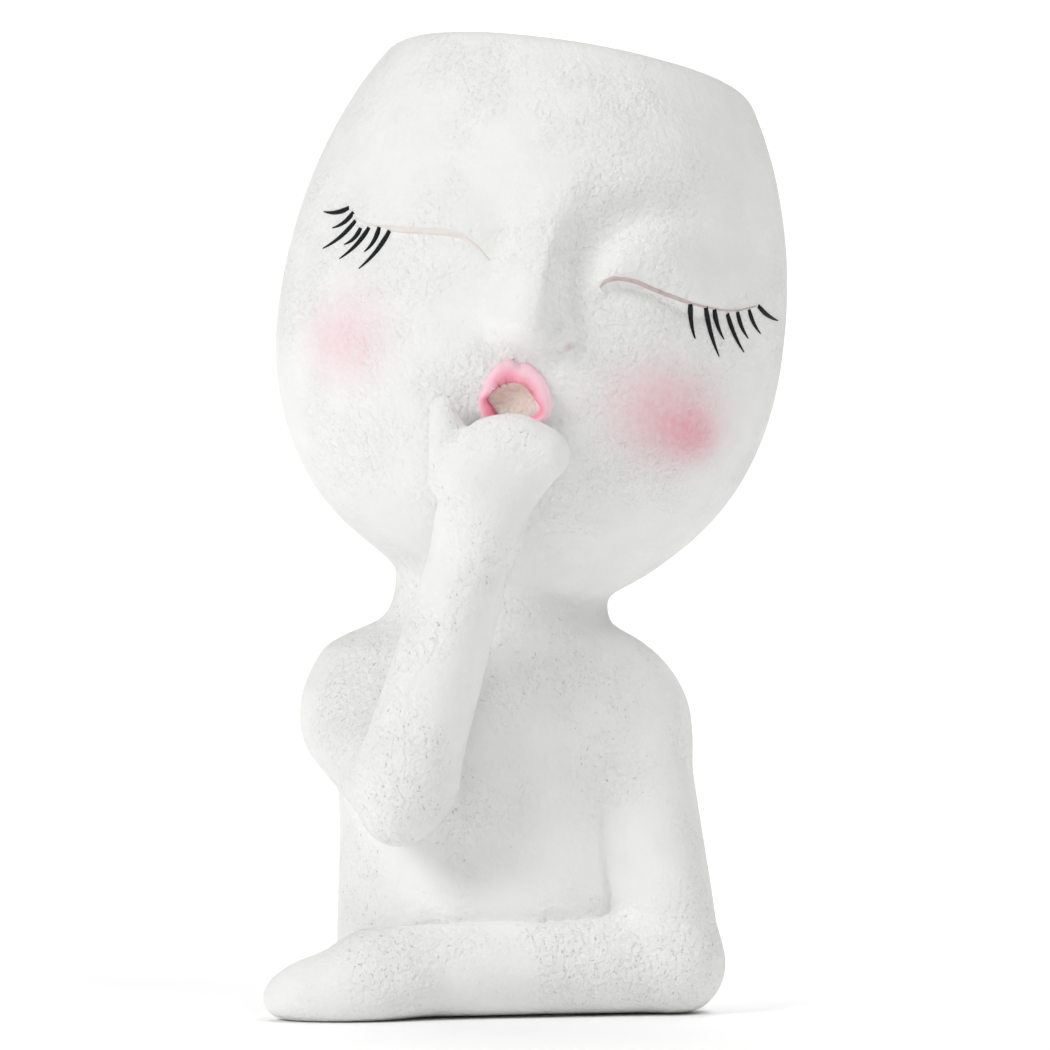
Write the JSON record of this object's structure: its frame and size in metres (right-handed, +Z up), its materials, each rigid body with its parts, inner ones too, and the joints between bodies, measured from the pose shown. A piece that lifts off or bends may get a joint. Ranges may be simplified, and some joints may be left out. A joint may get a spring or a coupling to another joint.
{
  "type": "head planter",
  "caption": "Cast bust planter of a doll-like girl blowing a kiss, with closed eyes, a hollow open-topped head and a bottom drain.",
  "frame": {"origin": "under the middle of the whole object, on the surface that it stands on", "axes": "+Z up, the face looks to -Y, +X to the right of the picture"},
  "size_m": [0.1284, 0.118, 0.2401],
  "materials": {
    "cast_resin": "matte, sandy grain of a filled casting resin",
    "lip_paint": "matte, hand painted",
    "lid_paint": "matte, hand painted",
    "lash_paint": "matte, hand painted",
    "soft_plug": "matte soft silicone"
  },
  "bodies": {
    "planter": {"head_pot": "cast_resin", "torso": "cast_resin", "raised_arm": "cast_resin", "resting_arm": "cast_resin", "lips": "lip_paint", "right_lid_line": "lid_paint", "left_lid_line": "lid_paint", "right_lashes": "lash_paint", "left_lashes": "lash_paint"},
    "plug": {"drain_plug": "soft_plug"}
  },
  "joints": [
    {"name": "plug_pull", "type": "slide", "parent": "planter", "child": "plug", "axis": [0.1564, 0, 0.9877], "range_m": [0, 0.03]}
  ]
}
